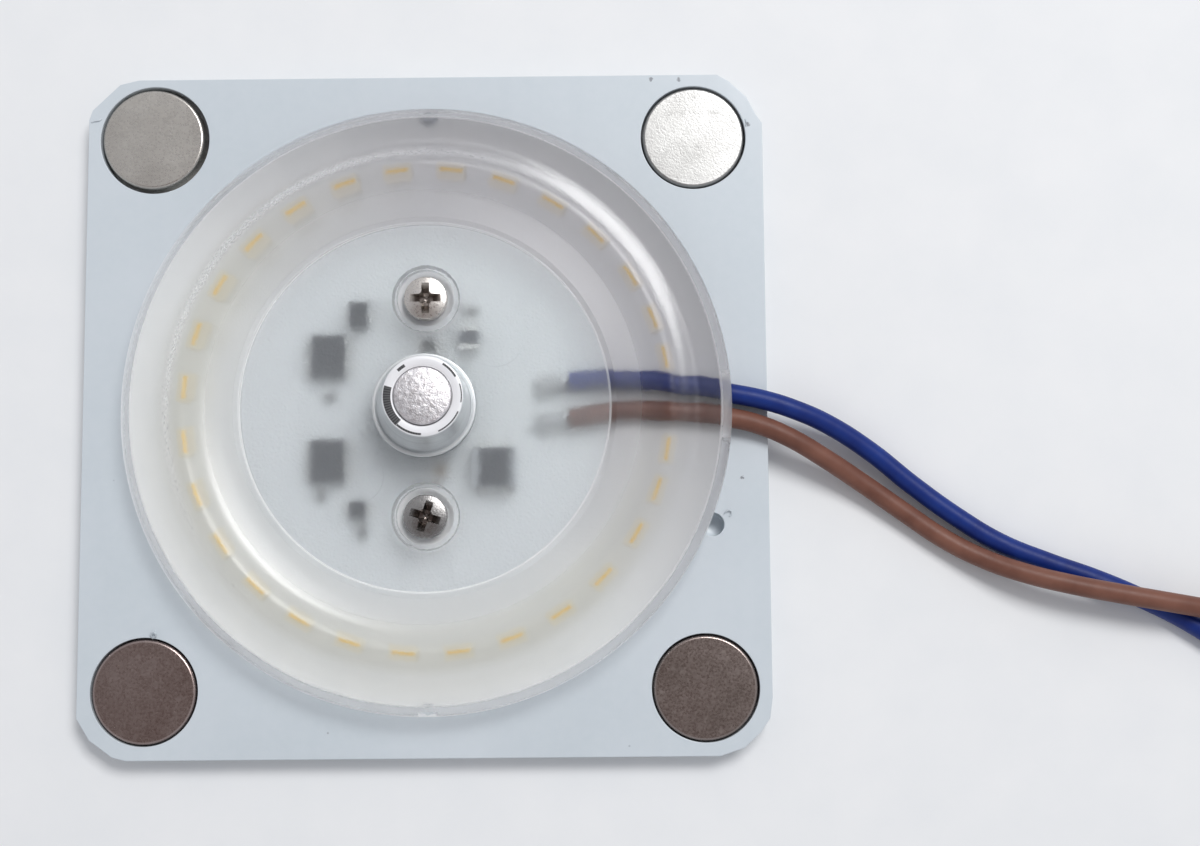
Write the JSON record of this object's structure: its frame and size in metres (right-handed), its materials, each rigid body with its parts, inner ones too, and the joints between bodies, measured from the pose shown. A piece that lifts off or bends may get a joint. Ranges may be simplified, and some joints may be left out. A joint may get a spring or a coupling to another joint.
{
  "type": "led light module",
  "caption": "Round light module: a ring of LEDs under a moulded ring lens with a turned cap, screwed to a square plate with disc magnets in its corners, with loose supply leads.",
  "frame": {"origin": "middle of the carrier plate's underside", "axes": "+Z towards the light side, the leads leave the lens towards +X, the screws stand along Y"},
  "size_m": [0.1479, 0.08, 0.0152],
  "materials": {
    "plate_plastic": "satin",
    "magnet_metal": "ground, nickel plated",
    "board_white": "solder mask",
    "led_housing": "satin",
    "phosphor": "smooth",
    "package_black": "matte",
    "chip_ceramic": "matte",
    "resistor_film": "glazed",
    "solder": "satin",
    "lens_clear": "clear, with a finely grained ring",
    "screw_nickel": "bright",
    "cap_satin": "satin, turned",
    "disc_hammered": "hammered",
    "lead_pvc_blue": "satin",
    "lead_pvc_brown": "satin",
    "tinned_copper": "satin"
  },
  "bodies": {
    "root": {"carrier_plate": "plate_plastic", "magnet_top_left": "magnet_metal", "magnet_top_right": "magnet_metal", "magnet_bottom_left": "magnet_metal", "magnet_bottom_right": "magnet_metal", "led_board": "board_white", "led_01": "led_housing", "led_02": "led_housing", "led_03": "led_housing", "led_04": "led_housing", "led_05": "led_housing", "led_06": "led_housing", "led_07": "led_housing", "led_08": "led_housing", "led_09": "led_housing", "led_10": "led_housing", "led_11": "led_housing", "led_12": "led_housing", "led_13": "led_housing", "led_14": "led_housing", "led_15": "led_housing", "led_16": "led_housing", "led_17": "led_housing", "led_18": "led_housing", "led_19": "led_housing", "led_20": "led_housing", "led_21": "led_housing", "led_22": "led_housing", "led_23": "led_housing", "led_24": "led_housing", "led_25": "led_housing", "led_26": "led_housing", "led_27": "led_housing", "led_28": "led_housing", "phosphor_fills": "phosphor", "driver_ic_upper": "package_black", "driver_ic_lower": "package_black", "bridge_rectifier": "package_black", "diode_upper": "package_black", "diode_lower": "package_black", "capacitor_input": "chip_ceramic", "capacitor_supply": "chip_ceramic", "resistor_fuse": "resistor_film", "resistor_bleed": "resistor_film", "resistor_sense": "resistor_film", "resistor_start": "resistor_film", "resistor_load": "resistor_film", "solder_joint_blue": "solder", "solder_joint_brown": "solder", "lens_cover": "lens_clear", "screw_upper": "screw_nickel", "screw_lower": "screw_nickel", "cap_body": "cap_satin", "cap_disc": "disc_hammered", "lead_blue": "lead_pvc_blue", "lead_brown": "lead_pvc_brown", "lead_end_blue": "tinned_copper", "lead_end_brown": "tinned_copper"}
  },
  "joints": []
}
